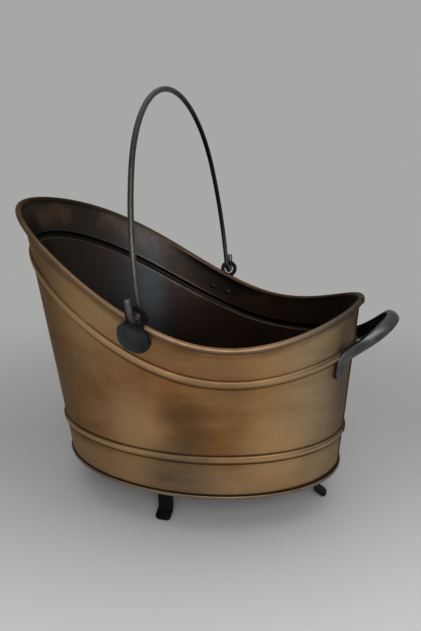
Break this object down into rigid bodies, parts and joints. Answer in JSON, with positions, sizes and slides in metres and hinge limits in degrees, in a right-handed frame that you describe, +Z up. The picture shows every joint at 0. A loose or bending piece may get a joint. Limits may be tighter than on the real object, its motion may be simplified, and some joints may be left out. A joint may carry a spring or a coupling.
{
  "type": "log bucket",
  "caption": "Helmet-shaped oval metal log bucket with a tall lip, wired rim, swaged beads, strap feet, a tail strap handle and a wire bail that swings in riveted ears.",
  "frame": {"origin": "on the floor, under the middle of the whole part's box", "axes": "+Z up, +X from the lip end to the tail end, the near side with the nearer ear at -Y"},
  "size_m": [0.4702, 0.37, 0.4956],
  "materials": {
    "aged_brass": "aged and brushed, with dark patina along the beads",
    "black_iron": "blackened, matt",
    "grey_steel": "worn grey",
    "bail_steel": "dark grey-brown with worn highlights",
    "rim_steel": "plain wire, hidden inside the rim"
  },
  "bodies": {
    "bucket": {"bucket_wall": "aged_brass", "base_pan": "aged_brass", "near_ear": "black_iron", "far_ear": "black_iron", "near_ear_rivets": "black_iron", "far_ear_rivets": "black_iron", "near_foot": "black_iron", "far_foot": "black_iron", "lip_foot": "black_iron", "tail_foot": "black_iron", "near_foot_rivets": "black_iron", "far_foot_rivets": "black_iron", "lip_foot_rivets": "black_iron", "tail_foot_rivets": "black_iron", "tail_handle": "grey_steel", "near_tail_rivets": "grey_steel", "far_tail_rivets": "grey_steel", "rim_wire": "rim_steel"},
    "bail": {"bail_handle": "bail_steel"}
  },
  "joints": [
    {"name": "bail_swing", "type": "hinge", "parent": "bucket", "child": "bail", "pos_m": [-0.01494, 0, 0.25481], "axis": [0, 1, 0], "range_deg": [-52, 97]}
  ]
}
